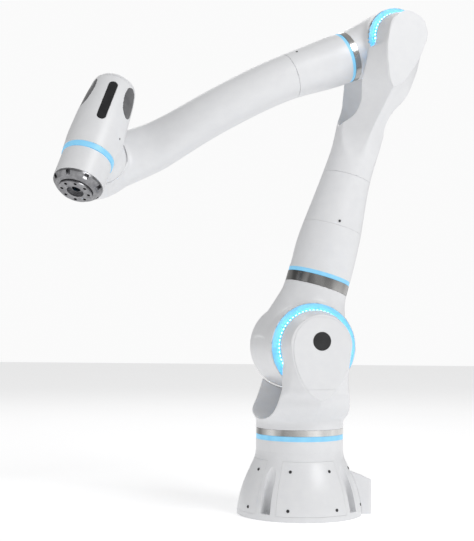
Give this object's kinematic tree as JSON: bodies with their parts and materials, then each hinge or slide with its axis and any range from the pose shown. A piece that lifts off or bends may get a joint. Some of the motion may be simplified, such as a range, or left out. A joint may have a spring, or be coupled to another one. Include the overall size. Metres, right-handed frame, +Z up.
{
  "type": "collaborative robot arm",
  "caption": "Jointed white robot arm on a flared pedestal, with light rings at its joints, a bullet-shaped sensor head at the wrist and a bolted tool flange.",
  "frame": {"origin": "centre of the pedestal's bottom face, on the first joint's axis", "axes": "+Z up along the first joint's axis; the camera side of the arm, with the shoulder ear, faces -Y"},
  "size_m": [0.7059, 0.3739, 0.996],
  "materials": {
    "white_paint": "satin white powder coat on cast aluminium",
    "white_plastic": "satin white moulded cover",
    "polished_metal": "polished and lacquered",
    "blue_light": "translucent diffuser, lit blue from inside",
    "led": "lit",
    "screw_steel": "satin",
    "black_plastic": "matt",
    "dark_glass": "dark coated sensor window",
    "grey_glass": "grey coated window",
    "machined_aluminium": "turned",
    "drive_aluminium": "machined",
    "bearing_steel": "ground"
  },
  "bodies": {
    "pedestal": {"base_casting": "white_paint", "skirt_panels": "white_plastic", "panel_screws": "screw_steel", "connector_box": "white_plastic", "cable_sockets": "black_plastic", "j1_light_ring": "blue_light", "j1_drive": "drive_aluminium", "j1_bearing": "bearing_steel"},
    "shoulder_yoke": {"j1_metal_ring": "polished_metal", "j1_hub": "drive_aluminium", "yoke_casting": "white_paint", "shoulder_cover": "white_plastic", "shoulder_badge": "black_plastic", "j2_drive": "drive_aluminium", "j2_bearing": "bearing_steel"},
    "shoulder": {"shoulder_housing": "white_paint", "j2_hub": "drive_aluminium", "j2_light_ring": "blue_light", "j2_leds": "led", "j3_metal_ring": "polished_metal", "j3_drive": "drive_aluminium", "j3_bearing": "bearing_steel"},
    "upper_arm": {"j3_light_ring": "blue_light", "j3_hub": "drive_aluminium", "upper_arm_collar": "white_paint", "upper_arm_tube": "white_paint", "elbow_yoke_casting": "white_paint", "elbow_cover": "white_plastic", "upper_arm_screws": "screw_steel", "j4_drive": "drive_aluminium", "j4_bearing": "bearing_steel"},
    "elbow": {"elbow_housing": "white_paint", "j4_hub": "drive_aluminium", "j4_light_ring": "blue_light", "j4_leds": "led", "j5_metal_ring": "polished_metal", "j5_drive": "drive_aluminium", "j5_bearing": "bearing_steel"},
    "forearm": {"j5_light_ring": "blue_light", "j5_hub": "drive_aluminium", "forearm_collar": "white_paint", "forearm_casting": "white_paint", "wrist_cover": "white_plastic", "forearm_screws": "screw_steel", "j6_drive": "drive_aluminium", "j6_bearing": "bearing_steel"},
    "wrist_head": {"head_casing": "white_paint", "head_cap": "white_plastic", "sensor_window": "dark_glass", "sensor_lenses": "black_plastic", "side_windows": "grey_glass", "head_screw": "screw_steel", "j6_hub": "drive_aluminium", "j7_light_ring": "blue_light", "j7_drive": "drive_aluminium", "j7_bearing": "bearing_steel"},
    "tool_end": {"flange_sleeve": "white_paint", "flange_clamp_ring": "machined_aluminium", "tool_flange": "machined_aluminium", "j7_hub": "drive_aluminium"}
  },
  "joints": [
    {"name": "j1_base", "type": "hinge", "parent": "pedestal", "child": "shoulder_yoke", "pos_m": [0, 0, 0.16], "axis": [0, 0, 1], "range_deg": [-180, 180]},
    {"name": "j2_shoulder", "type": "hinge", "parent": "shoulder_yoke", "child": "shoulder", "pos_m": [0, 0, 0.3245], "axis": [0.294, -0.9558, 0], "range_deg": [-94, 126]},
    {"name": "j3_upper_arm_roll", "type": "hinge", "parent": "shoulder", "child": "upper_arm", "pos_m": [0, 0, 0.3245], "axis": [0.2618, 0.0806, 0.9617], "range_deg": [-180, 180]},
    {"name": "j4_elbow", "type": "hinge", "parent": "upper_arm", "child": "elbow", "pos_m": [0.16601, 0.05107, 0.93424], "axis": [0.3746, -0.9269, -0.0244], "range_deg": [-270, 15]},
    {"name": "j5_forearm_roll", "type": "hinge", "parent": "elbow", "child": "forearm", "pos_m": [0.16601, 0.05107, 0.93424], "axis": [-0.8662, -0.3405, -0.3657], "range_deg": [-180, 180]},
    {"name": "j6_wrist", "type": "hinge", "parent": "forearm", "child": "wrist_head", "pos_m": [-0.3823, -0.16444, 0.70273], "axis": [0.164, -0.8851, 0.4355], "range_deg": [-169, 70]},
    {"name": "j7_flange", "type": "hinge", "parent": "wrist_head", "child": "tool_end", "pos_m": [-0.3823, -0.16444, 0.70273], "axis": [-0.2053, -0.4625, -0.8625], "range_deg": [-180, 180]}
  ]
}
